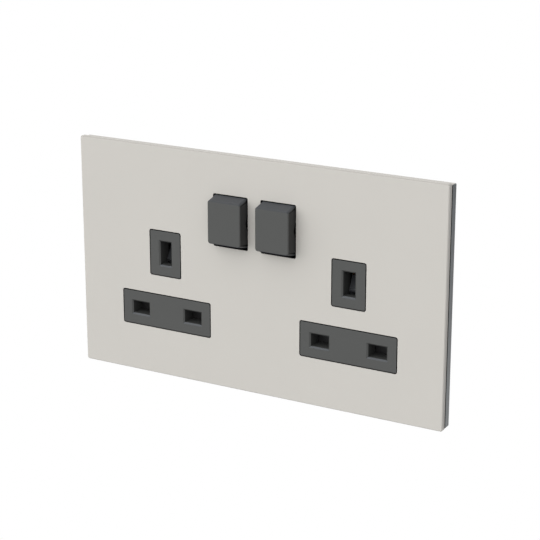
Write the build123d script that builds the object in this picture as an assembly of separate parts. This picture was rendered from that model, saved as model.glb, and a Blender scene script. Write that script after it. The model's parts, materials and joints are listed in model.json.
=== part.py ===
from build123d import *
import os

os.makedirs("parts", exist_ok=True)

# A flush two-gang switched socket outlet with a clip-on cover plate.
# Millimetres. The origin is on the wall plane at the plate's centre: X right, Z up, Y into the wall.

# Cover plate
plate_w = 146.0
plate_h = 85.7
plate_z = -0.15
plate_front = -5.4
cover_depth = 1.85
cover_skin = 1.3
cover_lip = 1.6
cover_corner = 0.8
cover_edge = 0.3

# Mounting frame behind the cover
frame_w = 145.9
frame_h = 84.0
frame_front = -2.8
frame_corner = 0.4
rim_inset = 1.9
rim_w = 1.6
seat_gap = 0.3
housing_gap = 0.7
seat_y = -2.2
fixing_x = 60.3
fixing_r = 1.75
fixing_neck_r = 1.5
fixing_head_r = 3.4
fixing_hole_r = 2.0
fixing_tip_y = 24.0

# Socket faces: three rectangular pins, 22.23 between line and neutral
socket_x = 37.0
pin_dx = 11.115
pin_z = -19.03
earth_z = 3.2
pin_slot_w = 7.0
pin_slot_h = 4.6
earth_slot_w = 4.6
earth_slot_h = 8.7
slot_chamfer = 0.5
pin_island_w = 37.0
pin_island_shift = 0.06
pin_island_h = 12.45
pin_island_z = -18.94
earth_island_w = 12.6
earth_island_h = 16.48
island_corner = 0.5
island_gap = 0.375
window_corner = 0.85

# Front moulding
insert_w = 112.0
insert_h = 67.0
base_front = -4.05
tube_rear = 0.3
tube_wall = 0.9

# Rockers
rocker_x = 9.55
rocker_z = 19.15
rocker_w = 13.17
rocker_proud = 4.68
rocker_face_half = 7.7
rocker_foot_half = 8.87
rocker_skirt = 2.3
rocker_wall = 1.2
rocker_opening_w = 14.05
rocker_opening_h = 19.1
rocker_opening_z = 18.87
rocker_opening_corner = 0.6
notch_proud = 0.8
notch_half = 2.05
rocker_face_corner = 0.9
rocker_edge = 0.3
pivot_y = -2.6
trunnion_r = 1.2
trunnion_reach = 6.3
running_gap = 0.05
ear_half = 2.1
ear_flat = 1.0
ear_inner = 4.9
stem_r = 3.4
stem_bore_r = 2.05
stem_end = 3.2
stem_bore_end = -7.6
well_floor = 1.2
well_margin_x = 1.5
well_margin_z = 0.9
well_gap_x = 0.15
well_gap_z = 0.3
ear_root = 1.0
ear_clear = 0.1
stem_hole_r = 3.85
cheek_w = 4.6
cheek_half = 2.2
cheek_gap = 0.25
cheek_depth = 1.4
trunnion_end_gap = 0.2

# Plunger and its spring
plunger_r = 1.95
plunger_tip_r = 1.2
plunger_nose_r = 0.5
plunger_head_y = 0.5
plunger_shoulder_y = 5.5
plunger_pocket_r = 1.4
plunger_pocket_y = 4.5
tip_gap = 0.03
plunger_coil_r = 1.1
plunger_wire = 0.3
plunger_turns = 5
coil_steps = 8
coil_end_gap = 0.05

# Rocking contacts
tilt_y = 9.5
strip_t = 0.8
arch_inner = 0.65
arch_outer = 1.55
arm_t = 0.9
arm_half = 8.5
arm_w = 4.8
ridge_r = 0.6
button_r = 1.5
button_u = 7.2
button_t = 0.75
button_rim_t = 0.4
button_crown_r = 0.4
fixed_button_y = 11.6

# Bars, by depth: each has a width and reaches a little past what it joins
supply_y = 12.4
load_y = 13.7
neutral_y = 15.6
earth_y = 18.4
bar_w = 5.0
supply_head_h = 4.8
supply_head_rise = 2.4
supply_reach = 2.6
supply_foot = (-2.7, 2.3)
supply_foot_z = (-19.9, -15.0)
load_cross_z = (-9.0, -5.0)
load_rise = 2.5
load_drop = 2.4
ridge_inset = 0.5
ridge_half = 0.4
neutral_drop = 0.8
neutral_h = 4.0
neutral_foot_half = 2.0
earth_half = 3.0
earth_reach = 4.0
earth_stem_half = 2.5
earth_foot_half = 7.0

# Socket contacts: half the gap between the leaves, at three depths
contact_t = 0.5
mouth_half = 3.0
mouth_y = 3.7
throat_half = 1.95
throat_y = 6.6
web_half = 2.6
clip_bend_r = 0.5
pin_contact_w = 5.5
earth_contact_h = 7.2

# Terminals
terminal_pitch = 8.6
terminal_w = 7.2
terminal_front = 8.4
terminal_rear = 17.4
terminal_bottom = -29.4
terminal_top = -21.9
terminal_edge = 0.5
wire_r = 2.25
wire_y = 12.0
wire_depth = 6.6
clamp_z = -25.9
clamp_r = 1.7
clamp_head_r = 2.6
clamp_head_t = 1.6
clamp_tip_y = 14.5
clamp_backed_out = 0.2
driver_slot_depth = 0.9
driver_slot_w = 1.0

# Shutters
shutter_y = 0.6
shutter_t = 1.6
shutter_top = -16.1
shutter_bottom = -23.4
shutter_half = 15.2
shutter_web_half = 4.0
shutter_web_top = -1.4
shutter_corner = 0.6
ramp_half = 2.05
ramp_nose_y = -0.9
ramp_nose_z = (-0.25, 0.15)
ramp_foot_y = 0.2
ramp_chin = (-0.65, -0.7)
ramp_brow = (-0.75, 0.6)
ramp_crest_y = 1.7
ramp_top_z = 4.7
shutter_travel = 5.5
slot_window_half = 2.1
slot_window_low = -17.2
slot_window_high = -3.0
spring_seat_z = -15.3
spring_y = 0.9
spigot_r = 0.9
spigot_len = 1.5
upper_spigot_r = 0.6
upper_spigot_len = 1.2
shutter_coil_r = 1.25
shutter_wire = 0.35
shutter_turns = 6
guide_gap = 0.3
guide_clear = 0.1
lug_w = 0.7
seat_inset = 0.5
seat_t = 1.3
tube_end_gap = 0.2
guide_low = -13.5
guide_high = 0.2

# Rear housing
housing_w = 108.4
housing_h = 62.0
housing_wall = 1.4
housing_floor = 19.4
housing_back = 21.2
housing_corner = 3.0
housing_edge = 1.0
flange_w = 112.0
flange_h = 66.0
flange_t = 1.0
pocket_front = 3.7
pin_pocket_half = 3.6
earth_pocket_half = 4.4
bay_front = 5.0
bay_low = 8.4
bay_walls = (3.3, 16.2)
barrier_front = 6.0
barrier_half = 0.4
barrier_rise = 1.0
rib_t = 1.0
bar_gap = 0.3
strap_gap = 0.6
wire_window = (-15.9, 15.9)
wire_window_half = 2.95
top_boss = (48.5, 26.0)
low_boss = (19.3, -26.2)
boss_half = 2.0
boss_floor = 1.0
column_half = 2.6
boss_joint_y = 2.6
assembly_r = 1.3
assembly_head_r = 2.4
hole_gap = 0.2
access_gap = 0.3
assembly_head_y = 19.6
assembly_tip_y = -0.8

# Cover hooks
hook_w = 6.0
hook_t = 1.2
hook_barb = 0.6
hook_catch_y = -1.85
hook_end_y = -0.7
hook_rows = [(-40.0, 1), (40.0, 1), (-40.0, -1), (40.0, -1)]
hook_root = 0.4
hook_slack = 0.35
hook_z = 37.0
hook_x = 67.4

# A small allowance, and how far a cut runs past the face that it opens
near = 0.06
over = 1.0
cover_back = plate_front + cover_depth
skin_back = plate_front + cover_skin
sides = {"left": -1, "right": 1}


# Basic shapes

def slab(width, height, front, back, centre=(0, 0), corner=0):
    """A plate parallel to the wall, between two depths."""
    outline = RectangleRounded(width, height, corner) if corner else Rectangle(width, height)
    plane = Plane.XZ.offset(-back)
    return extrude(plane * Pos(centre[0], centre[1]) * outline, back - front)


def block(x_range, y_range, z_range):
    """A rectangular block between two corners."""
    spans = [x_range, y_range, z_range]
    middle = [(low + high) / 2 for low, high in spans]
    size = [high - low for low, high in spans]
    return Pos(*middle) * Box(*size)


def rod_y(radius, front, back, x, z):
    """A round bar along Y."""
    return extrude(Plane.XZ.offset(-back) * Pos(x, z) * Circle(radius), back - front)


def rod_x(radius, left, right, y, z):
    """A round bar along X."""
    return extrude(Plane.YZ.offset(left) * Pos(y, z) * Circle(radius), right - left)


def rod_z(radius, low, high, x, y):
    """A round bar along Z."""
    return extrude(Plane.XY.offset(low) * Pos(x, y) * Circle(radius), high - low)


def turned(points, x, z):
    """A solid turned about a line along Y; the points are (radius, y)."""
    outline = make_face(Polyline(*points, close=True))
    return Pos(x, 0, z) * revolve(outline, Axis.Y)


def side_profile(points, left, right):
    """A solid with a (y, z) outline, between two places along X."""
    outline = make_face(Polyline(*points, close=True))
    return extrude(Plane.YZ.offset(left) * outline, right - left)


def edges_at(solid, y, centre, width, height):
    """The edges of a solid at one depth, inside a rectangle."""
    def inside(edge):
        middle = edge.center()
        level = abs(middle.Y - y) < near
        across = abs(middle.X - centre[0]) < width / 2 + near
        upright = abs(middle.Z - centre[1]) < height / 2 + near
        return level and across and upright
    return solid.edges().filter_by(inside)


def driver_slot(x, z, head_r, crown, way):
    """The slot across a screw's head; way is 1 where the screw points into the wall."""
    depth = sorted((crown, crown + way * driver_slot_depth))
    return block((x - head_r, x + head_r), depth, (z - driver_slot_w / 2, z + driver_slot_w / 2))


def pan_screw(x, z, head_r, head_y, shank_r, tip_y):
    """A slotted screw that goes in from behind: flat head, plain shank."""
    crown = head_y + clamp_head_t
    points = [(0, crown), (head_r, crown), (head_r, head_y), (shank_r, head_y), (shank_r, tip_y), (0, tip_y)]
    return turned(points, x, z) - driver_slot(x, z, head_r, crown, -1)


def fixing_screw(x):
    """A countersunk screw into the wall box, with a plain neck where it passes through the frame."""
    throat = frame_front + fixing_head_r - fixing_neck_r
    points = [(0, frame_front), (fixing_head_r, frame_front), (fixing_neck_r, throat), (fixing_neck_r, 0),
              (fixing_r, 0), (fixing_r, fixing_tip_y), (0, fixing_tip_y)]
    return turned(points, x, 0) - driver_slot(x, 0, fixing_head_r, frame_front, 1)


# Cover and frame

def hook_outline():
    """Outline of a cover hook: (y, distance outwards from the leg's inner face)."""
    return [
        (skin_back - hook_root, 0),
        (skin_back - hook_root, hook_t),
        (hook_catch_y, hook_t),
        (hook_catch_y, hook_t + hook_barb),
        (hook_end_y, hook_t),
        (hook_end_y, 0),
    ]


def hook(x, row):
    """A hook on the plate's upper or lower edge."""
    points = [(y, row * (hook_z + out)) for y, out in hook_outline()]
    return side_profile(points, x - hook_w / 2, x + hook_w / 2)


def side_hook(side):
    """A hook at the plate's left or right end."""
    outline = make_face(Polyline(*[(side * (hook_x + out), y) for y, out in hook_outline()], close=True))
    return extrude(Plane.XY.offset(-hook_w / 2) * outline, hook_w)


def cover_plate():
    """The pale clip-on plate: a shallow pan with windows for the socket faces and the rockers."""
    centre = (0, plate_z)
    pan = slab(plate_w, plate_h, plate_front, cover_back, centre, cover_corner)
    pan = chamfer(edges_at(pan, plate_front, centre, plate_w, plate_h), cover_edge)
    inner_w = plate_w - 2 * cover_lip
    inner_h = plate_h - 2 * cover_lip
    pan -= slab(inner_w, inner_h, skin_back, cover_back, centre)
    for side in sides.values():
        x = side * socket_x
        grow = 2 * island_gap
        pan -= slab(pin_island_w + grow, pin_island_h + grow, plate_front, skin_back,
                    (side * (socket_x - pin_island_shift), pin_island_z), window_corner)
        pan -= slab(earth_island_w + grow, earth_island_h + grow, plate_front, skin_back,
                    (x, earth_z), window_corner)
        pan -= slab(rocker_opening_w, rocker_opening_h, plate_front, skin_back,
                    (side * rocker_x, rocker_opening_z), rocker_opening_corner)
        pan += side_hook(side)
    for x, row in hook_rows:
        pan += hook(x, row)
    return pan


def hook_windows():
    """The stepped windows in the frame that the hooks snap into."""
    cut = Part()
    half = hook_w / 2 + hook_slack
    root = hook_z - hook_slack
    narrow = (root, hook_z + hook_t + hook_slack / 2)
    wide = (root, hook_z + hook_t + hook_barb + 2 * hook_slack)
    step = hook_catch_y - near
    shift = hook_x - hook_z
    for reach, depth in ((narrow, (frame_front - over, step)), (wide, (step, over))):
        for x, row in hook_rows:
            cut += block((x - half, x + half), depth, sorted((row * reach[0], row * reach[1])))
        for side in sides.values():
            span = sorted((side * (reach[0] + shift), side * (reach[1] + shift)))
            cut += block(span, depth, (-half, half))
    return cut


def mounting_frame():
    """The dark frame that is screwed to the wall box and carries everything else."""
    frame = slab(frame_w, frame_h, frame_front, 0, corner=frame_corner)
    rim_width = frame_w - 2 * rim_inset
    rim_height = frame_h - 2 * rim_inset
    rim = slab(rim_width, rim_height, skin_back, frame_front)
    frame += rim - slab(rim_width - 2 * rim_w, rim_height - 2 * rim_w, skin_back, frame_front)
    frame -= slab(insert_w + 2 * seat_gap, insert_h + 2 * seat_gap, frame_front - over, seat_y)
    frame -= slab(housing_w + 2 * housing_gap, housing_h + 2 * housing_gap, seat_y - over, over)
    frame -= slab(flange_w + 2 * seat_gap, flange_h + 2 * seat_gap, -flange_t, over)
    frame -= hook_windows()
    for side in sides.values():
        x = side * fixing_x
        head = fixing_head_r + near
        throat = frame_front + head - fixing_hole_r
        seat = [(0, frame_front - over), (head, frame_front - over), (head, frame_front),
                (fixing_hole_r, throat), (fixing_hole_r, over), (0, over)]
        frame -= turned(seat, x, 0)
    return frame


# Front moulding

def earth_tube(x):
    """Guide walls behind the earth slot: two cheeks and a top, open below for the shutter's ramp."""
    inner = earth_slot_w / 2
    outer = inner + tube_wall
    top = earth_z + earth_slot_h / 2
    low = earth_z - earth_slot_h / 2 - shutter_travel - tube_end_gap
    depth = (seat_y, tube_rear)
    tube = block((x - outer, x + outer), depth, (top, top + tube_wall))
    for span in ((-outer, -inner), (inner, outer)):
        tube += block((x + span[0], x + span[1]), depth, (low, top))
    return tube


def shutter_guides(x):
    """Rails, stops and the spring's seat on the back of the front moulding."""
    depth = (seat_y, shutter_y + shutter_t + guide_clear)
    seat_half = slot_window_half - seat_inset
    guides = block((x - seat_half, x + seat_half), depth, (spring_seat_z - seat_t, spring_seat_z))
    guides += rod_z(spigot_r, spring_seat_z, spring_seat_z + spigot_len, x, spring_y)
    inner = shutter_web_half + guide_gap
    for side in sides.values():
        rail = sorted((x + side * inner, x + side * (inner + tube_wall)))
        guides += block(rail, depth, (guide_low, guide_high))
        lug = sorted((x + side * (inner - lug_w), x + side * inner))
        guides += block(lug, depth, (shutter_web_top + guide_clear, guide_high))
    return guides


def rocker_well(x):
    """The floor under a rocker, with the two ears that hold its trunnions."""
    floor = slab(rocker_opening_w + 2 * well_margin_x, rocker_opening_h + 2 * well_margin_z,
                 seat_y, seat_y + well_floor, (x, rocker_opening_z))
    floor -= rod_y(stem_hole_r, seat_y, seat_y + well_floor, x, rocker_z)
    floor -= slab(2 * ear_inner, 2 * (cheek_half + cheek_gap), seat_y, seat_y + well_floor, (x, rocker_z))
    front = pivot_y - ear_half
    back = pivot_y + ear_half
    shoulder = pivot_y - ear_flat
    ear = [(back, -ear_half), (shoulder, -ear_half), (front, -ear_flat),
           (front, ear_flat), (shoulder, ear_half), (back, ear_half)]
    for side in sides.values():
        inner = x + side * ear_inner
        outer = x + side * (rocker_opening_w / 2 - ear_clear)
        floor += Pos(0, 0, rocker_z) * side_profile(ear, *sorted((inner, outer)))
        root = sorted((outer, outer + side * ear_root))
        floor += block(root, (base_front, seat_y), (rocker_z - ear_half, rocker_z + ear_half))
    return floor


def front_moulding():
    """The dark insert: socket faces that stand flush in the cover, slot guides and rocker wells."""
    body = slab(insert_w, insert_h, base_front, seat_y)
    for side in sides.values():
        x = side * socket_x
        island_x = side * (socket_x - pin_island_shift)
        body += slab(pin_island_w, pin_island_h, plate_front, base_front,
                     (island_x, pin_island_z), island_corner)
        body += slab(earth_island_w, earth_island_h, plate_front, base_front,
                     (x, earth_z), island_corner)
        for pin_x in (x - pin_dx, x + pin_dx):
            body += slab(pin_slot_w + 2 * tube_wall, pin_slot_h + 2 * tube_wall,
                         seat_y, tube_rear, (pin_x, pin_z))
            body -= slab(pin_slot_w, pin_slot_h, plate_front, tube_rear, (pin_x, pin_z))
        body += earth_tube(x)
        body += shutter_guides(x)
        body -= slab(earth_slot_w, earth_slot_h, plate_front, seat_y, (x, earth_z))
    mouths = ShapeList()
    for side in sides.values():
        x = side * socket_x
        mouths += edges_at(body, plate_front, (x - pin_dx, pin_z), pin_slot_w, pin_slot_h)
        mouths += edges_at(body, plate_front, (x + pin_dx, pin_z), pin_slot_w, pin_slot_h)
        mouths += edges_at(body, plate_front, (x, earth_z), earth_slot_w, earth_slot_h)
    body = chamfer(mouths, slot_chamfer)
    for side in sides.values():
        x = side * rocker_x
        body -= slab(rocker_opening_w + 2 * well_gap_x, rocker_opening_h + 2 * well_gap_z,
                     base_front, seat_y, (x, rocker_opening_z))
        body += rocker_well(x)
        for end in sides.values():
            span = sorted((x + end * ear_inner, x + end * (trunnion_reach + trunnion_end_gap)))
            body -= rod_x(trunnion_r + running_gap, *span, pivot_y, rocker_z)
    for boss_x, boss_z in boss_places():
        body += slab(2 * boss_half, 2 * boss_half, seat_y, boss_joint_y, (boss_x, boss_z))
        body -= rod_y(assembly_r + running_gap, seat_y + boss_floor, boss_joint_y, boss_x, boss_z)
    return body


def boss_places():
    """The four assembly screws, from the lower left."""
    return [(side * boss[0], boss[1]) for boss in (low_boss, top_boss) for side in sides.values()]


# Rocker, plunger and springs

def rocker(x):
    """A wedge-ended rocker cap with its stem and trunnions, level at mid-travel."""
    def cap_outline(inset, depth):
        face = plate_front - rocker_proud + inset
        return [
            (depth, -rocker_foot_half + inset),
            (plate_front, -rocker_foot_half + inset),
            (face, -rocker_face_half + inset),
            (face, rocker_face_half - inset),
            (plate_front, rocker_foot_half - inset),
            (depth, rocker_foot_half - inset),
        ]
    half = rocker_w / 2
    skirt_end = plate_front + rocker_skirt
    cap = side_profile(cap_outline(0, skirt_end), -half, half)
    face_y = plate_front - rocker_proud
    face_corners = cap.edges().filter_by(lambda e: abs(abs(e.center().X) - half) < near and is_sloping(e))
    cap = fillet(face_corners, rocker_face_corner)
    rims = cap.edges().filter_by(lambda e: abs(e.center().Y - face_y) < near)
    cap = chamfer(rims, rocker_edge)
    cap -= side_profile(cap_outline(rocker_wall, skirt_end + over), -half + rocker_wall, half - rocker_wall)
    slope = notch_half / notch_proud
    notch_end = skirt_end + over
    notch_foot = (notch_end - plate_front + notch_proud) * slope
    notch = [(plate_front - notch_proud, 0), (notch_end, notch_foot), (notch_end, -notch_foot)]
    for side in sides.values():
        cap -= side_profile(notch, *sorted((side * ear_inner, side * (half + over))))
    under = face_y + rocker_wall
    cap += rod_y(stem_r, under, stem_end, 0, 0)
    cap += block((-cheek_w, cheek_w), (under, pivot_y + cheek_depth), (-cheek_half, cheek_half))
    cap += rod_x(trunnion_r, -trunnion_reach, trunnion_reach, pivot_y, 0)
    cap -= rod_y(stem_bore_r, stem_bore_end, stem_end, 0, 0)
    return Pos(x, 0, rocker_z) * cap


def is_sloping(edge):
    """True for the rocker's edges that run from its face down its sloping ends."""
    rise = edge.end_point() - edge.start_point()
    return abs(rise.Y) > 1 and abs(rise.Z) > 0.5


def plunger(x):
    """The spring-loaded pin in the rocker's stem, with a round tip and a pocket for its spring."""
    tip_y = tilt_y - arch_outer - tip_gap
    profile = [
        (0, plunger_pocket_y),
        (plunger_pocket_r, plunger_pocket_y),
        (plunger_pocket_r, plunger_head_y),
        (plunger_r, plunger_head_y),
        (plunger_r, plunger_shoulder_y),
        (plunger_tip_r, plunger_shoulder_y),
        (plunger_tip_r, tip_y - plunger_nose_r),
        (plunger_tip_r - plunger_nose_r, tip_y),
        (0, tip_y),
    ]
    return turned(profile, x, rocker_z)


def coil(radius, wire, length, turns):
    """A square-wire compression spring along Z, standing on the XY plane."""
    count = turns * coil_steps
    rise = (length - wire) / count
    path = Polyline(*[
        Vector(radius, 0, wire / 2 + rise * step).rotate(Axis.Z, 360 * step / coil_steps)
        for step in range(count + 1)
    ])
    section = Plane(origin=path @ 0, z_dir=path % 0) * Rectangle(wire, wire)
    return sweep(section, path, transition=Transition.RIGHT)


def plunger_spring(x):
    """The rocker's snap spring, between the stem's blind end and the plunger."""
    room = plunger_pocket_y - stem_bore_end
    spring = coil(plunger_coil_r, plunger_wire, room - 2 * coil_end_gap, plunger_turns)
    return Pos(x, stem_bore_end + coil_end_gap, rocker_z) * Rot(-90, 0, 0) * spring


def shutter_spring(x):
    """The return spring that holds a shutter up."""
    room = slot_window_high - spring_seat_z
    spring = coil(shutter_coil_r, shutter_wire, room - 2 * coil_end_gap, shutter_turns)
    return Pos(x, spring_y, spring_seat_z + coil_end_gap) * spring


# Switch contacts

def rocking_contact(x):
    """The tilting strip: an arch over its ridge, and two arms."""
    arch = Circle(arch_outer) - Circle(arch_inner)
    arch -= Pos(arch_outer, 0) * Rectangle(2 * arch_outer, 4 * arch_outer)
    arm_len = arm_half - arch_inner
    arms = Sketch() + arch
    for way in sides.values():
        arms += Pos(-arm_t / 2, way * (arch_inner + arm_len / 2)) * Rectangle(arm_t, arm_len)
    plane = Plane.YZ.offset(x - arm_w / 2)
    return extrude(plane * Pos(tilt_y, rocker_z) * arms, arm_w)


def moving_button(x):
    """The crowned contact rivet on the upper arm."""
    top = tilt_y + button_t
    rim = tilt_y + button_rim_t
    profile = [(0, tilt_y), (button_r, tilt_y), (button_r, rim), (button_crown_r, top), (0, top)]
    return turned(profile, x, rocker_z + button_u)


def fixed_button(x):
    """The fixed contact on the supply bar."""
    return rod_y(button_r, fixed_button_y, supply_y, x, rocker_z + button_u)


terminal_x = {name: (place - 1.5) * terminal_pitch for place, name in
              enumerate(["neutral", "line", "earth_left", "earth_right"])}
earth_stem_x = (terminal_x["earth_left"] + terminal_x["earth_right"]) / 2


def strip(y, runs):
    """A flat pressed bar at one depth, from its straight runs."""
    bar = Part()
    for x_range, z_range in runs:
        bar += block(x_range, (y, y + strip_t), z_range)
    return bar


def supply_runs():
    """From the line terminal to both fixed contacts; each run is (x range, z range)."""
    top = rocker_z + button_u + supply_head_rise
    foot = [terminal_x["line"] + reach for reach in supply_foot]
    return [
        ((-rocker_x - supply_reach, rocker_x + supply_reach), (top - supply_head_h, top)),
        ((-bar_w / 2, bar_w / 2), (supply_foot_z[0], top)),
        ((foot[0], bar_w / 2), supply_foot_z),
        (foot, (terminal_top, supply_foot_z[1])),
    ]


def load_runs(side):
    """From a switch's ridge to that socket's line contact."""
    x = side * rocker_x
    contact_x = side * socket_x + pin_dx
    half = bar_w / 2
    return [
        ((x - half, x + half), (load_cross_z[0], rocker_z + load_rise)),
        (sorted((x - side * half, contact_x + side * half)), load_cross_z),
        ((contact_x - half, contact_x + half), (pin_z - load_drop, load_cross_z[1])),
    ]


def neutral_runs():
    """From the neutral terminal to both neutral contacts."""
    foot = terminal_x["neutral"]
    low = pin_z - neutral_drop
    half = bar_w / 2
    return [
        ((-socket_x - pin_dx - half, socket_x - pin_dx + half), (low, low + neutral_h)),
        ((foot - neutral_foot_half, foot + neutral_foot_half), (terminal_top, low)),
    ]


def earth_runs():
    """From the two earth terminals to both earth contacts."""
    reach = socket_x + earth_reach
    return [
        ((-reach, reach), (earth_z - earth_half, earth_z + earth_half)),
        ((earth_stem_x - earth_stem_half, earth_stem_x + earth_stem_half), (terminal_top, earth_z)),
    ]


def load_strip(side):
    """A load bar with the ridge that its rocking contact tilts on."""
    x = side * rocker_x
    half = arm_w / 2 - ridge_inset
    bar = strip(load_y, load_runs(side))
    bar += block((x - half, x + half), (tilt_y, load_y), (rocker_z - ridge_half, rocker_z + ridge_half))
    bar += rod_x(ridge_r, x - half, x + half, tilt_y, rocker_z)
    return bar


def earth_strap():
    """The earth bar, with a foot that lies on both earth terminals."""
    foot = (earth_stem_x - earth_foot_half, earth_stem_x + earth_foot_half)
    strap = strip(earth_y, earth_runs())
    strap += block(foot, (wire_y, earth_y + strip_t), (terminal_top, terminal_top + strip_t))
    return strap


# Socket contacts

def clip_outline(rear):
    """A pressed U: flared mouth, narrow throat, and a web at the back; (depth, half gap)."""
    leaf = [(mouth_y, mouth_half), (throat_y, throat_half), (rear - contact_t / 2, web_half)]
    points = leaf + [(depth, -gap) for depth, gap in reversed(leaf)]
    return trace(FilletPolyline(*points, radius=clip_bend_r), contact_t)


def pin_contact(x, rear):
    """A line or neutral contact: two leaves above and below the pin."""
    plane = Plane.YZ.offset(x - pin_contact_w / 2)
    return extrude(plane * Pos(0, pin_z) * clip_outline(rear), pin_contact_w)


def earth_contact(x):
    """The earth contact: two leaves, one each side of the pin."""
    plane = Plane(origin=(x, 0, earth_z - earth_contact_h / 2), x_dir=(0, 1, 0), z_dir=(0, 0, 1))
    return extrude(plane * clip_outline(earth_y), earth_contact_h)


# Terminals

def terminal(x):
    """A brass pillar terminal with a blind wire hole that opens downwards."""
    half = terminal_w / 2
    pillar = block((x - half, x + half), (terminal_front, terminal_rear), (terminal_bottom, terminal_top))
    pillar = chamfer(pillar.edges().filter_by(Axis.Z), terminal_edge)
    pillar -= rod_z(wire_r, terminal_bottom, terminal_bottom + wire_depth, x, wire_y)
    pillar -= rod_y(clamp_r + running_gap, wire_y, terminal_rear, x, clamp_z)
    return pillar


# Shutter

def shutter(x):
    """A sliding shutter: the earth pin pushes its ramp down, and its blade clears both pin slots."""
    back = shutter_y + shutter_t
    depth = (shutter_y, back)
    plate = block((x - shutter_half, x + shutter_half), depth, (shutter_bottom, shutter_top))
    plate = chamfer(plate.edges().filter_by(Axis.Y), shutter_corner)
    plate += block((x - shutter_web_half, x + shutter_web_half), depth,
                   (shutter_top - over, shutter_web_top))
    ramp = [
        (back, shutter_web_top),
        (ramp_foot_y, shutter_web_top),
        ramp_chin,
        (ramp_nose_y, ramp_nose_z[0]),
        (ramp_nose_y, ramp_nose_z[1]),
        ramp_brow,
        (ramp_crest_y, ramp_top_z),
        (back, ramp_top_z),
    ]
    plate += side_profile(ramp, x - ramp_half, x + ramp_half)
    plate -= block((x - slot_window_half, x + slot_window_half), (shutter_y - over, back + over),
                   (slot_window_low, slot_window_high))
    plate += rod_z(upper_spigot_r, slot_window_high - upper_spigot_len, slot_window_high,
                   x, shutter_y + spigot_r)
    return plate


# Rear housing

def ring_of_ribs(x, z, half_h):
    """A rectangular pocket of thin walls that stands on the housing's floor."""
    outer_w = 2 * (pin_pocket_half + rib_t)
    outer = slab(outer_w, 2 * (half_h + rib_t), pocket_front, housing_floor, (x, z))
    return outer - slab(2 * pin_pocket_half, 2 * half_h, pocket_front, housing_floor, (x, z))


def housing_ribs():
    """Pockets round the contacts, the switch bays and the barriers between the terminals."""
    inner_z = housing_h / 2 - housing_wall
    ribs = Part()
    for side in sides.values():
        x = side * socket_x
        ribs += ring_of_ribs(x, earth_z, earth_pocket_half)
        for pin_x in (x - pin_dx, x + pin_dx):
            ribs += ring_of_ribs(pin_x, pin_z, pin_pocket_half)
        for wall in bay_walls:
            wall_x = sorted((side * wall, side * (wall + rib_t)))
            ribs += block(wall_x, (bay_front, housing_floor), (bay_low, inner_z))
    reach = bay_walls[1] + rib_t
    ribs += block((-reach, reach), (bay_front, housing_floor), (bay_low, bay_low + rib_t))
    for gap in (-1, 0, 1):
        x = gap * terminal_pitch
        ribs += block((x - barrier_half, x + barrier_half), (barrier_front, housing_floor),
                      (-inner_z, terminal_top + barrier_rise))
    return ribs


def bar_clearances():
    """The room that the bars take up where they pass through the ribs."""
    room = Part()
    bars = [(supply_y, supply_runs()), (neutral_y, neutral_runs()), (earth_y, earth_runs())]
    bars += [(load_y, load_runs(side)) for side in sides.values()]
    for y, runs in bars:
        for x_range, z_range in runs:
            room += block((x_range[0] - bar_gap, x_range[1] + bar_gap), (y - bar_gap, y + strip_t + bar_gap),
                          (z_range[0] - bar_gap, z_range[1] + bar_gap))
    foot = earth_foot_half + bar_gap
    room += block((earth_stem_x - foot, earth_stem_x + foot), (wire_y - bar_gap, housing_floor),
                  (terminal_top - bar_gap, terminal_top + strip_t + strap_gap))
    return room


def rear_housing():
    """The deep moulding behind the wall plane that holds the contacts, bars and terminals."""
    inner_h = housing_h - 2 * housing_wall
    shell = slab(housing_w, housing_h, -flange_t, housing_back, corner=housing_corner)
    shell = chamfer(edges_at(shell, housing_back, (0, 0), housing_w, housing_h), housing_edge)
    shell += slab(flange_w, flange_h, -flange_t, 0)
    shell -= slab(housing_w - 2 * housing_wall, inner_h, seat_y, housing_floor)
    shell += housing_ribs() - bar_clearances()
    shell -= block(wire_window, (wire_y - wire_window_half, wire_y + wire_window_half),
                   (-housing_h / 2 - over, -inner_h / 2))
    for x, z in boss_places():
        shell += slab(2 * column_half, 2 * column_half, boss_joint_y, housing_floor, (x, z))
        shell -= rod_y(assembly_r + hole_gap, boss_joint_y - over, housing_back + over, x, z)
        shell -= rod_y(assembly_head_r + 2 * hole_gap, assembly_head_y, housing_back + over, x, z)
    for x in terminal_x.values():
        shell -= rod_y(clamp_head_r + access_gap, housing_floor - over, housing_back + over, x, clamp_z)
    return shell


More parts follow.
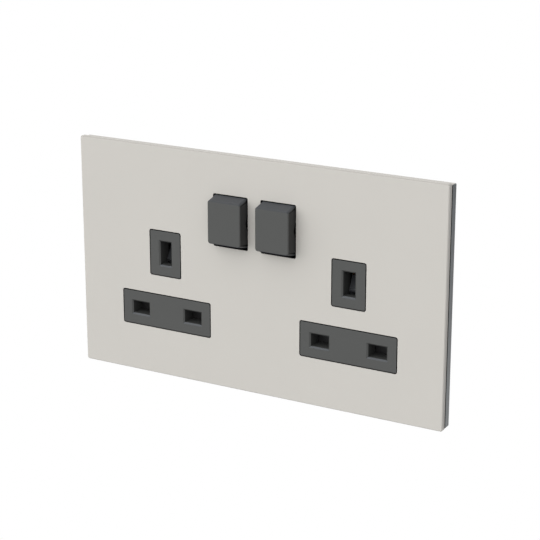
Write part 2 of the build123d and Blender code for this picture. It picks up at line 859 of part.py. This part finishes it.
def build():
    """Every piece, by name."""
    pieces = {
        "cover_plate": cover_plate(),
        "mounting_frame": mounting_frame(),
        "front_moulding": front_moulding(),
        "rear_housing": rear_housing(),
        "supply_bar": strip(supply_y, supply_runs()),
        "neutral_bar": strip(neutral_y, neutral_runs()),
        "earth_strap": earth_strap(),
    }
    for name, side in sides.items():
        x = side * socket_x
        switch_x = side * rocker_x
        pieces["rocker_" + name] = rocker(switch_x)
        pieces["plunger_" + name] = plunger(switch_x)
        pieces["plunger_spring_" + name] = plunger_spring(switch_x)
        pieces["rocking_contact_" + name] = rocking_contact(switch_x)
        pieces["moving_button_" + name] = moving_button(switch_x)
        pieces["fixed_button_" + name] = fixed_button(switch_x)
        pieces["load_strip_" + name] = load_strip(side)
        pieces["line_contact_" + name] = pin_contact(x + pin_dx, load_y)
        pieces["neutral_contact_" + name] = pin_contact(x - pin_dx, neutral_y)
        pieces["earth_contact_" + name] = earth_contact(x)
        pieces["shutter_" + name] = shutter(x)
        pieces["shutter_spring_" + name] = shutter_spring(x)
        pieces["fixing_screw_" + name] = fixing_screw(side * fixing_x)
    for name, x in terminal_x.items():
        pieces["terminal_" + name] = terminal(x)
        pieces["terminal_screw_" + name] = pan_screw(
            x, clamp_z, clamp_head_r, terminal_rear + clamp_backed_out, clamp_r, clamp_tip_y)
    for number, (x, z) in enumerate(boss_places(), 1):
        pieces["assembly_screw_" + str(number)] = pan_screw(
            x, z, assembly_head_r, assembly_head_y, assembly_r, assembly_tip_y)
    return pieces


for node, solid in build().items():
    export_step(solid, "parts/" + node + ".step")
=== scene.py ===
import bpy
import bmesh
import json
import math
from mathutils import Matrix, Vector


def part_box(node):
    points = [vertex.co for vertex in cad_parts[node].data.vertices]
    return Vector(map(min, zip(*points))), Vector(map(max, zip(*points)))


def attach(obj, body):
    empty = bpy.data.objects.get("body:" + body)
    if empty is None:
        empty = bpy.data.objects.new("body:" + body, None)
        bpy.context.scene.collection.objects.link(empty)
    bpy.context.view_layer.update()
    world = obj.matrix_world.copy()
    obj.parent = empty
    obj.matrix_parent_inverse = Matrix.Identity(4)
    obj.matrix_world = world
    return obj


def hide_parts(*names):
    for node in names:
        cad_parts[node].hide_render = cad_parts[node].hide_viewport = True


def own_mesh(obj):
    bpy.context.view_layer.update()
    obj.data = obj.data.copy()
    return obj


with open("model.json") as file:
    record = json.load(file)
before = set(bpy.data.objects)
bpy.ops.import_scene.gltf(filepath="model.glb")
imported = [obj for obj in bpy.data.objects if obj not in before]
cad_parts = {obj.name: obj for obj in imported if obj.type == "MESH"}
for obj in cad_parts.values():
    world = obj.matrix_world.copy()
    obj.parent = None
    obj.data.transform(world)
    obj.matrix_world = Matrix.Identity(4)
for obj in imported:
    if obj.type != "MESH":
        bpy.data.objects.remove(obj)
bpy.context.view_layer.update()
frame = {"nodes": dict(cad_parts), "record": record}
mm = 0.001
nodes = frame["nodes"]
cover_low, cover_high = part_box("cover_plate")
front_y = cover_low.y

# Camera: fitted to the plate's corners, the windows and the pin spacing
lens_mm = 113.06
sensor_mm = 36.0
camera_near = 0.01
azimuth = math.radians(29.94)
elevation = math.radians(17.04)
camera_distance = 587.6 * mm
aim_x = 6.34 * mm
aim_z = 3.83 * mm

# Light: a wide, soft surround that grows towards the upper left, and towards the front and the back
surround_flat = 0.10
surround_corner = 2.48
surround_depth = 0.70

# Floor: far enough below the part that its shadow leaves the view
floor_level = 0.26
floor_drop = 0.6
floor_reach = 4.0
floor_roughness = 0.9

# Colours of whole pieces, as they look in daylight, 0 to 255
cover_colour = (206, 203, 197)
# Painted shade: the frame's colour at the top, darker than at the bottom
frame_top_colour = (90, 94, 97)
frame_low_colour = (132, 135, 136)
insert_colour = (86, 87, 86)
housing_colour = (70, 72, 74)
shutter_colour = (44, 44, 45)
brass_colour = (214, 180, 110)
bronze_colour = (200, 150, 105)
silver_colour = (225, 224, 220)
steel_colour = (170, 172, 175)
zinc_colour = (190, 190, 186)

# Colours of single faces
# Painted shade: the slot walls inside the insert, darker than the insert
inner_colour = (70, 71, 70)
# Painted light: the slots' left chamfers, a little lighter than the insert
slot_chamfer_colour = (92, 93, 92)
# Painted shade: near black in the gaps round the rockers, on the rockers' faces inside the openings and in
# the groove behind the cover
gap_colour = (22, 22, 23)
lip_colour = (78, 81, 85)
# Painted shade: the cover's window walls and its back, dark grey on a pale cover
window_wall_colour = (44, 44, 43)
# Painted shade: the cover's outer sides, darker than its front
cover_rim_colour = (184, 181, 176)
# Painted light and shade: the cover's top, darker than its front, and the frame's top, pale as a reflection
cover_top_colour = (174, 171, 166)
# Painted light: the shutters' ramps, lighter than the shutters
shutter_ramp_colour = (66, 68, 71)
# Painted shade: the rockers' sides, darker than their fronts
rocker_side_colour = (60, 60, 60)
# Painted shade: the rockers' slopes, darker than their fronts
slope_colour = (71, 73, 76)

# Tarnish, as the share of the metal's own colour that it leaves
warm_tarnish = (0.55, 0.42, 0.30)
grey_tarnish = (0.75, 0.74, 0.72)

# Patterns of colour: size of their patches, and how strong they are
drift_size = 18 * mm
rub_size = 2.2 * mm
streak_size = 0.9 * mm
streak_darker = -0.08
streak_lighter = 0.05
tarnish_size = 5 * mm
tarnish_from = 0.45
tarnish_full = 0.75
tarnish_share = 0.35

# Surface texture: size and depth of its grain, and how far the gloss varies with it
worn_grain = 0.5 * mm
worn_depth = 0.01 * mm
metal_grain = 0.4 * mm
metal_depth = 0.008 * mm
grain_strength = 0.35
gloss_patch_ratio = 14
gloss_low = 0.6
gloss_high = 1.4
plastic_gloss_spread = 0.05
worn_gloss_spread = 0.06
metal_gloss_spread = 0.09

# Height from the wall's middle over which the frame's colour changes, a painted shade that darkens it towards
# the top
drift_reach = 43 * mm

# How far a face's normal points along an axis: squarely, leaning that way, or hardly at all
squarely = 0.9
leaning = 0.3
hardly = 0.1

# Where single faces lie
slot_margin = 0.6 * mm
lip_depth = 0.6 * mm
cover_top_band = 0.4 * mm
cover_rim_band = 0.1 * mm
window_depth = 2 * mm
window_share = 0.8
frame_top_z = 41 * mm
ramp_half_w = 3 * mm
ramp_low_z = -2.5 * mm

# Fixing screws: the thread on the part that goes into the wall box
thread_root_r = 1.45 * mm
thread_crest_r = 1.75 * mm
thread_pitch = 0.7 * mm
thread_start = 0.9 * mm
thread_end = 23.4 * mm
shank_start = -0.01 * mm
thread_steps = 20
thread_foot = 0.42 * thread_pitch
thread_crest = 0.07 * thread_pitch
thread_sunk_r = thread_root_r - 0.05 * mm

# Frame: how far its lower edge reaches below the solid, and the band of points that moves
frame_drop = 0.65 * mm
frame_low_band = 0.45 * mm

# Marks of the mould's pins on the back: their places, in millimetres, and their size
mark_places = [(-44, 0), (-15, 8), (15, 8), (44, 0), (-30, -20), (30, -20)]
mark_r = 2.2 * mm
mark_proud = 0.1 * mm
mark_bevel = 0.5 * mark_proud
mark_sides = 40

# Softened edges
edge_width = 0.12 * mm
rocker_edge_width = 0.22 * mm
sharp_angle = math.radians(35)
same_point = 0.001 * mm


def linear(colour):
    """A display colour, 0 to 255, as the linear values that a shader takes."""
    def one(value):
        share = value / 255
        return share / 12.92 if share <= 0.04045 else ((share + 0.055) / 1.055) ** 2.4
    return tuple(one(value) for value in colour) + (1.0,)


def shaded(colour, share):
    """A display colour as linear values, made lighter or darker by a share."""
    return tuple(min(1.0, value * (1 + share)) for value in linear(colour)[:3]) + (1.0,)


def new_piece(name, data):
    """A new object in the scene."""
    piece = bpy.data.objects.new(name, data)
    bpy.context.scene.collection.objects.link(piece)
    return piece


def set_camera():
    """The photograph's viewpoint."""
    target = Vector((aim_x, front_y, aim_z))
    level = math.cos(elevation)
    away = Vector((math.sin(azimuth) * level, -math.cos(azimuth) * level, math.sin(elevation)))
    camera = new_piece("camera", bpy.data.cameras.new("camera"))
    camera.data.lens = lens_mm
    camera.data.sensor_width = sensor_mm
    camera.data.clip_start = camera_near
    camera.location = target + camera_distance * away
    camera.rotation_euler = (-away).to_track_quat("-Z", "Y").to_euler()
    bpy.context.scene.camera = camera


def join(tree, operation, *values):
    """The result of a math node on sockets or plain numbers."""
    node = tree.nodes.new("ShaderNodeMath")
    node.operation = operation
    for number, value in enumerate(values):
        if isinstance(value, (int, float)):
            node.inputs[number].default_value = value
        else:
            tree.links.new(value, node.inputs[number])
    return node.outputs[0]


def spread_over(tree, value, low, high, to_low=0, to_high=1):
    """Maps a socket's range, low to high, onto another range."""
    node = tree.nodes.new("ShaderNodeMapRange")
    node.inputs["From Min"].default_value = low
    node.inputs["From Max"].default_value = high
    node.inputs["To Min"].default_value = to_low
    node.inputs["To Max"].default_value = to_high
    tree.links.new(value, node.inputs["Value"])
    return node.outputs["Result"]


def mix_colours(tree, share, one, two):
    """A mix of colour one with colour two; two is a socket or plain values."""
    node = tree.nodes.new("ShaderNodeMixRGB")
    tree.links.new(share, node.inputs["Fac"])
    tree.links.new(one, node.inputs["Color1"])
    if isinstance(two, tuple):
        node.inputs["Color2"].default_value = two
    else:
        tree.links.new(two, node.inputs["Color2"])
    return node


def white_to_camera(tree, plain, white):
    """Shows white to the camera, to mirrors and through glass, and plain to everything else."""
    path = tree.nodes.new("ShaderNodeLightPath")
    seen = path.outputs["Is Camera Ray"]
    for name in ("Is Glossy Ray", "Is Transmission Ray"):
        seen = join(tree, "MAXIMUM", seen, path.outputs[name])
    mix = tree.nodes.new("ShaderNodeMixShader")
    tree.links.new(seen, mix.inputs[0])
    tree.links.new(plain, mix.inputs[1])
    tree.links.new(white, mix.inputs[2])
    return mix.outputs[0]


def set_light():
    """A soft surround, brightest at the upper left, that reads as white behind the part."""
    scene = bpy.context.scene
    scene.view_settings.view_transform = "Standard"
    world = bpy.data.worlds.new("surround")
    scene.world = world
    world.use_nodes = True
    tree = world.node_tree
    background = tree.nodes["Background"]
    background.inputs["Color"].default_value = (1, 1, 1, 1)
    way = tree.nodes.new("ShaderNodeTexCoord")
    parts = tree.nodes.new("ShaderNodeSeparateXYZ")
    tree.links.new(way.outputs["Generated"], parts.inputs[0])
    left = spread_over(tree, parts.outputs["X"], 1, -1)
    up = spread_over(tree, parts.outputs["Z"], -1, 1)
    corner = join(tree, "MULTIPLY", left, up)
    depth = join(tree, "ABSOLUTE", parts.outputs["Y"])
    near = join(tree, "MULTIPLY_ADD", depth, surround_depth, surround_flat)
    total = join(tree, "MULTIPLY_ADD", corner, surround_corner, near)
    tree.links.new(total, background.inputs["Strength"])
    white = tree.nodes.new("ShaderNodeBackground")
    white.inputs["Color"].default_value = (1, 1, 1, 1)
    white.inputs["Strength"].default_value = 1.0
    shown = white_to_camera(tree, background.outputs[0], white.outputs[0])
    tree.links.new(shown, tree.nodes["World Output"].inputs[0])


def new_material(name):
    """An empty node material, its node tree, its shader and the object's own coordinates."""
    material = bpy.data.materials.new(name)
    material.use_nodes = True
    tree = material.node_tree
    place = tree.nodes.new("ShaderNodeTexCoord").outputs["Object"]
    return material, tree, tree.nodes["Principled BSDF"], place


def noise(tree, vector, size, detail):
    """A noise pattern whose blobs are about size across."""
    node = tree.nodes.new("ShaderNodeTexNoise")
    node.inputs["Scale"].default_value = 1 / size
    node.inputs["Detail"].default_value = detail
    tree.links.new(vector, node.inputs["Vector"])
    return node.outputs["Fac"]


def ramp(tree, value, low_colour, high_colour, low=0.3, high=0.7):
    """A colour that goes from one to another as value goes from low to high."""
    node = tree.nodes.new("ShaderNodeValToRGB")
    for stop, position, colour in zip(node.color_ramp.elements, (low, high), (low_colour, high_colour)):
        stop.position = position
        stop.color = colour
    tree.links.new(value, node.inputs["Fac"])
    return node.outputs["Color"]


def add_grain(tree, shader, vector, size, depth, roughness, rough_spread):
    """Fine surface texture, and gloss that varies with it and with slow patches."""
    fine = noise(tree, vector, size, detail=2)
    patches = noise(tree, vector, gloss_patch_ratio * size, detail=1)
    bump = tree.nodes.new("ShaderNodeBump")
    bump.inputs["Strength"].default_value = grain_strength
    bump.inputs["Distance"].default_value = depth
    tree.links.new(fine, bump.inputs["Height"])
    tree.links.new(bump.outputs["Normal"], shader.inputs["Normal"])
    both = join(tree, "ADD", fine, patches)
    gloss = spread_over(tree, both, gloss_low, gloss_high, roughness - rough_spread, roughness + rough_spread)
    tree.links.new(gloss, shader.inputs["Roughness"])


def drifting(tree, pattern, colour, spread):
    """A colour that a pattern makes a little darker and lighter by turns."""
    return ramp(tree, pattern, shaded(colour, -spread), shaded(colour, spread))


def plastic(name, colour, spread=0.012, grain=0.35, depth=0.02, roughness=0.5, shine=0.3, top_colour=None):
    """Moulded plastic: slow drift of colour, eroded grain in millimetres, and a painted shade that turns it
    to another colour towards the top.
    """
    material, tree, shader, place = new_material(name)
    drift = noise(tree, place, drift_size, detail=3)
    tint = drifting(tree, drift, colour, spread)
    if top_colour:
        # Painted shade: the colour turns to the shaded top colour towards the top
        height = tree.nodes.new("ShaderNodeSeparateXYZ")
        tree.links.new(place, height.inputs[0])
        share = spread_over(tree, height.outputs["Z"], -drift_reach, drift_reach)
        upper = drifting(tree, drift, top_colour, spread)
        tint = mix_colours(tree, share, tint, upper).outputs["Color"]
    tree.links.new(tint, shader.inputs["Base Color"])
    add_grain(tree, shader, place, grain * mm, depth * mm, roughness, plastic_gloss_spread)
    shader.inputs["Specular IOR Level"].default_value = shine
    return material


def worn(name, colour, lift, roughness, metallic=0.0, shine=0.3):
    """An edge finish: rubbed lighter and smoother in uneven patches, edge wear that is partly a painted
    highlight on the rounded edges.
    """
    material, tree, shader, place = new_material(name)
    rubbed = noise(tree, place, rub_size, detail=4)
    tint = ramp(tree, rubbed, shaded(colour, 0), shaded(colour, lift), low=0.35, high=0.65)
    tree.links.new(tint, shader.inputs["Base Color"])
    add_grain(tree, shader, place, worn_grain, worn_depth, roughness, worn_gloss_spread)
    shader.inputs["Metallic"].default_value = metallic
    shader.inputs["Specular IOR Level"].default_value = shine
    return material


def metal(name, colour, roughness, stretch, tarnish):
    """Drawn, pressed or plated metal: fine lines along one way, and dull patches."""
    material, tree, shader, place = new_material(name)
    pull = tree.nodes.new("ShaderNodeMapping")
    pull.inputs["Scale"].default_value = stretch
    tree.links.new(place, pull.inputs["Vector"])
    lines = pull.outputs["Vector"]
    streaks = noise(tree, lines, streak_size, detail=3)
    base = ramp(tree, streaks, shaded(colour, streak_darker), shaded(colour, streak_lighter))
    dull = noise(tree, place, tarnish_size, detail=5)
    share = spread_over(tree, dull, tarnish_from, tarnish_full, 0, tarnish_share)
    mix = mix_colours(tree, share, base, tarnish + (1.0,))
    mix.blend_type = "MULTIPLY"
    tree.links.new(mix.outputs["Color"], shader.inputs["Base Color"])
    add_grain(tree, shader, lines, metal_grain, metal_depth, roughness, metal_gloss_spread)
    shader.inputs["Metallic"].default_value = 1.0
    return material


def metal_pair(name, colour, roughness, stretch, tarnish, lift, edge_roughness):
    """A metal's finish and its edge finish."""
    plain = metal(name, colour, roughness, stretch, tarnish)
    edge = worn(name + "_edge", colour, lift, edge_roughness, metallic=1.0, shine=0.5)
    return plain, edge


def make_finishes():
    """The finish and the edge finish of every material slot in the record."""
    return {
        "cover": (plastic("cover", cover_colour, spread=0.006),
                  worn("cover_edge", cover_colour, 0.01, 0.4)),
        "frame": (plastic("frame", frame_low_colour, roughness=0.45, top_colour=frame_top_colour),
                  worn("frame_edge", frame_low_colour, 0.12, 0.42)),
        "insert": (plastic("insert", insert_colour, spread=0.008, shine=0.2),
                   # The insert's edge finish is painted much lighter: edge wear and a painted highlight on
                   # the rockers' rounded corners
                   worn("insert_edge", insert_colour, 0.35, 0.25, shine=1.0)),
        "housing": (plastic("housing", housing_colour, grain=0.45, depth=0.04, roughness=0.6),
                    worn("housing_edge", housing_colour, 0.35, 0.5)),
        "shutter": (plastic("shutter", shutter_colour, grain=0.6, depth=0.01, roughness=0.38),
                    worn("shutter_edge", shutter_colour, 0.3, 0.35)),
        "brass": metal_pair("brass", brass_colour, 0.3, (1, 6, 1), warm_tarnish, 0.15, 0.22),
        "bronze": metal_pair("bronze", bronze_colour, 0.34, (6, 1, 1), warm_tarnish, 0.15, 0.25),
        "silver": metal_pair("silver", silver_colour, 0.28, (1, 1, 1), grey_tarnish, 0.05, 0.22),
        "steel": metal_pair("steel", steel_colour, 0.3, (1, 1, 6), grey_tarnish, 0.2, 0.25),
        "screw": metal_pair("screw", zinc_colour, 0.35, (1, 5, 1), grey_tarnish, 0.2, 0.28),
    }


def make_face_finishes():
    """The finishes of single faces, by name."""
    return {
        "inner": plastic("insert_inside", inner_colour, roughness=0.6, shine=0.1),
        "chamfer": plastic("slot_chamfer", slot_chamfer_colour, roughness=0.6, shine=0.2),
        "gap": plastic("insert_gap", gap_colour, roughness=0.7, shine=0.05),
        "window_wall": plastic("window_wall", window_wall_colour),
        "rim": plastic("cover_rim", cover_rim_colour, spread=0.006),
        "top": plastic("cover_top", cover_top_colour, spread=0.006, shine=0.05),
        "lip": plastic("slot_lip", lip_colour, roughness=0.25, shine=0.6),
        "ramp": plastic("shutter_ramp", shutter_ramp_colour, grain=0.6, depth=0.01, roughness=0.3),
        "side": plastic("rocker_side", rocker_side_colour, shine=0.1),
        "slope": plastic("rocker_slope", slope_colour, shine=0.2),
    }


def soften(piece, width=edge_width, edge_slot=1):
    """Rounds the sharp edges a little, with the finish in edge_slot, or the faces' own for -1."""
    weld = piece.modifiers.new("weld", "WELD")
    weld.merge_threshold = same_point
    bevel = piece.modifiers.new("soften", "BEVEL")
    bevel.width = width
    bevel.segments = 2
    bevel.limit_method = "ANGLE"
    bevel.angle_limit = sharp_angle
    bevel.harden_normals = True
    bevel.material = edge_slot


def all_first(face):
    """Picks the first finish for every face."""
    return 0


def paint(piece, finishes, choose=all_first):
    """Gives a piece its finishes, and each face the one that choose picks."""
    piece.data.materials.clear()
    for finish in finishes:
        piece.data.materials.append(finish)
    for face in piece.data.polygons:
        face.material_index = choose(face)


def in_slot(point):
    """Whether a point lies in or just round one of the pin slots."""
    for opening in frame["record"]["physics"]["openings"]:
        low, high = opening["box_m"]
        beside = low[0] - slot_margin < point.x < high[0] + slot_margin
        if beside and low[2] - slot_margin < point.z < high[2] + slot_margin:
            return True
    return False


def moulding_face(face):
    """Faces of the moulding: 0 front, 1 gaps, painted near black as shade, 2 the slots' lower lips, 3 slot
    walls, painted darker as shade, 4 left chamfers, painted a little lighter as light.
    """
    slotted = in_slot(face.center)
    near_front = face.center.y < front_y + lip_depth
    if near_front and face.normal.y < -squarely:
        return 0
    if near_front and slotted and face.normal.y < -leaning:
        if face.normal.z > leaning:
            return 2
        if face.normal.x > leaning:
            return 4
    return 3 if slotted else 1


def cover_face(face):
    """Faces of the cover: 0 plain, 2 window walls and the rim's back, painted dark as shade, 3 the rim,
    painted darker as shade, 4 its top, painted darker as shade.
    """
    inset = min(cover_high.x - abs(face.center.x), cover_high.z - face.center.z, face.center.z - cover_low.z)
    if inset < cover_top_band and face.normal.z > leaning:
        return 4
    if inset < cover_rim_band and abs(face.normal.y) < hardly:
        return 3
    beside = abs(face.center.x) < window_share * cover_high.x
    inside = beside and abs(face.center.z) < window_share * cover_high.z
    across = abs(face.normal.y) < leaning and face.center.y < front_y + window_depth
    return 2 if (inside and across) or face.normal.y > squarely else 0


def frame_face(face):
    """Faces of the frame: 0 plain, 2 the front, down the groove behind the cover, painted near black as
    shade, 3 the top, painted pale as a reflection.
    """
    if face.normal.z > squarely and face.center.z > frame_top_z:
        return 3
    return 2 if face.normal.y < -squarely else 0


def shutter_face(centre_x):
    """Faces of a shutter: 0 plain, 2 the ramp, which the earth pins rub; the ramp is painted lighter as light
    falling on it.
    """
    def choose(face):
        on_ramp = abs(face.center.x - centre_x) < ramp_half_w and face.center.z > ramp_low_z
        return 2 if on_ramp and face.normal.y < -leaning else 0
    return choose


def rocker_face(face):
    """Faces of a rocker: 0 front, 1 inside the opening, painted near black as shade, 2 sides, painted darker
    as shade, 3 slopes, painted darker as shade.
    """
    if face.center.y > front_y:
        return 1
    if abs(face.normal.x) > squarely:
        return 2
    return 3 if abs(face.normal.z) > leaning else 0


def deepen_frame(node, frame_finishes):
    """Replaces the frame by one that reaches a little further down, as the photograph shows it."""
    data = node.data.copy()
    piece = new_piece("mounting_frame_deep", data)
    low_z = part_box("mounting_frame")[0].z
    for vert in data.vertices:
        if vert.co.z < low_z + frame_low_band:
            vert.co.z -= frame_drop
    paint(piece, frame_finishes, frame_face)
    soften(piece)
    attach(piece, "housing")
    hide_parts("mounting_frame")


def dress(finishes, single):
    """Puts a finish on every piece."""
    for part in frame["record"]["subparts"]:
        name = part["node"]
        piece = nodes[name]
        plain, edge = finishes[part["material_slot"]]
        if name == "front_moulding":
            wanted = (plain, single["gap"], single["lip"], single["inner"], single["chamfer"])
            paint(piece, wanted, moulding_face)
            soften(piece, edge_slot=-1)
        elif name.startswith("rocker_"):
            wanted = (plain, single["gap"], single["side"], single["slope"], edge)
            paint(piece, wanted, rocker_face)
            soften(piece, rocker_edge_width, 4)
        elif name == "cover_plate":
            paint(piece, (plain, edge, single["window_wall"], single["rim"], single["top"]), cover_face)
            soften(piece)
        elif part["material_slot"] == "shutter" and name.startswith("shutter_"):
            low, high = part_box(name)
            paint(piece, (plain, edge, single["ramp"]), shutter_face((low.x + high.x) / 2))
            soften(piece)
        elif name == "mounting_frame":
            deepen_frame(piece, (plain, edge, single["gap"], single["top"]))
        else:
            paint(piece, (plain, edge))
            soften(piece)


def springy(node, body, finishes):
    """A copy of a coil spring in steel, carried by the given body, in place of the part."""
    piece = new_piece(node + "_springy", nodes[node].data.copy())
    paint(piece, finishes["steel"])
    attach(piece, body)
    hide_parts(node)
    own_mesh(piece)


def ejector_mark(name, x, z, finishes):
    """A faint round mark that a pin of the mould leaves on the housing's back."""
    back_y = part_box("rear_housing")[1].y
    seat = Matrix.Translation((x, back_y, z)) @ Matrix.Rotation(math.pi / 2, 4, "X")
    mesh = bmesh.new()
    bmesh.ops.create_cone(mesh, cap_ends=True, segments=mark_sides, radius1=mark_r, radius2=mark_r,
                          depth=2 * mark_proud, matrix=seat)
    rims = [edge for edge in mesh.edges if len(edge.link_faces) == 2 and edge.calc_face_angle() > 1]
    bmesh.ops.bevel(mesh, geom=rims, offset=mark_bevel, segments=1, affect="EDGES")
    data = bpy.data.meshes.new("ejector_mark")
    mesh.to_mesh(data)
    mesh.free()
    piece = new_piece(name, data)
    paint(piece, finishes["housing"])
    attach(piece, "housing")


def helix(mesh, axis_x, axis_z):
    """Adds a closed thread ridge round an axis that runs along Y."""
    total = round((thread_end - thread_start) / thread_pitch * thread_steps)
    rings = []
    for step in range(total + 1):
        angle = 2 * math.pi * step / thread_steps
        y = thread_start + thread_pitch * step / thread_steps
        grow = min(1.0, step / thread_steps, (total - step) / thread_steps)
        top_r = thread_root_r + (thread_crest_r - thread_root_r) * grow
        profile = ((thread_sunk_r, -thread_foot), (top_r, -thread_crest),
                   (top_r, thread_crest), (thread_sunk_r, thread_foot))
        ring = []
        for radius, shift in profile:
            x = axis_x + radius * math.sin(angle)
            z = axis_z + radius * math.cos(angle)
            ring.append(mesh.verts.new((x, y + shift, z)))
        rings.append(ring)
    for one, two in zip(rings, rings[1:]):
        for side in range(4):
            after = (side + 1) % 4
            mesh.faces.new((one[side], one[after], two[after], two[side]))
    mesh.faces.new(rings[0][::-1])
    mesh.faces.new(rings[-1])


def draw_in_shank(mesh, axis_x, axis_z):
    """Draws the shank in to the thread's root, from the wall plane on."""
    middle_r = 0.5 * (thread_root_r + thread_crest_r)
    for vert in mesh.verts:
        radius = math.hypot(vert.co.x - axis_x, vert.co.z - axis_z)
        if vert.co.y > shank_start and radius > middle_r:
            share = thread_root_r / radius
            vert.co.x = axis_x + (vert.co.x - axis_x) * share
            vert.co.z = axis_z + (vert.co.z - axis_z) * share


def threaded_screw(node, finishes):
    """The fixing screw with its shank drawn in to the thread's root and a thread round it."""
    low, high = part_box(node)
    axis_x = (low.x + high.x) / 2
    axis_z = (low.z + high.z) / 2
    data = nodes[node].data.copy()
    piece = new_piece(node + "_threaded", data)
    mesh = bmesh.new()
    mesh.from_mesh(data)
    bmesh.ops.remove_doubles(mesh, verts=mesh.verts, dist=same_point)
    draw_in_shank(mesh, axis_x, axis_z)
    helix(mesh, axis_x, axis_z)
    bmesh.ops.recalc_face_normals(mesh, faces=mesh.faces)
    mesh.to_mesh(data)
    mesh.free()
    paint(piece, finishes["screw"])
    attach(piece, "housing")
    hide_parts(node)


def set_stage():
    """A pale floor that the camera sees as white."""
    bpy.ops.mesh.primitive_plane_add(size=2 * floor_reach, location=(0, 0, -floor_drop))
    floor = bpy.context.object
    floor.name = "floor"
    material = bpy.data.materials.new("floor")
    material.use_nodes = True
    tree = material.node_tree
    shader = tree.nodes["Principled BSDF"]
    shader.inputs["Base Color"].default_value = (floor_level, floor_level, floor_level, 1)
    shader.inputs["Roughness"].default_value = floor_roughness
    glow = tree.nodes.new("ShaderNodeEmission")
    glow.inputs["Strength"].default_value = 1.0
    shown = white_to_camera(tree, shader.outputs[0], glow.outputs[0])
    tree.links.new(shown, tree.nodes["Material Output"].inputs["Surface"])
    floor.data.materials.append(material)


set_camera()
set_light()
finishes = make_finishes()
dress(finishes, make_face_finishes())
for hand in ("left", "right"):
    threaded_screw("fixing_screw_" + hand, finishes)
    springy("shutter_spring_" + hand, "housing",
            finishes)
    springy("plunger_spring_" + hand, "rocker_" + hand,
            finishes)
for number, (x, z) in enumerate(mark_places, 1):
    ejector_mark("ejector_mark_%d" % number, x * mm, z * mm, finishes)
set_stage()
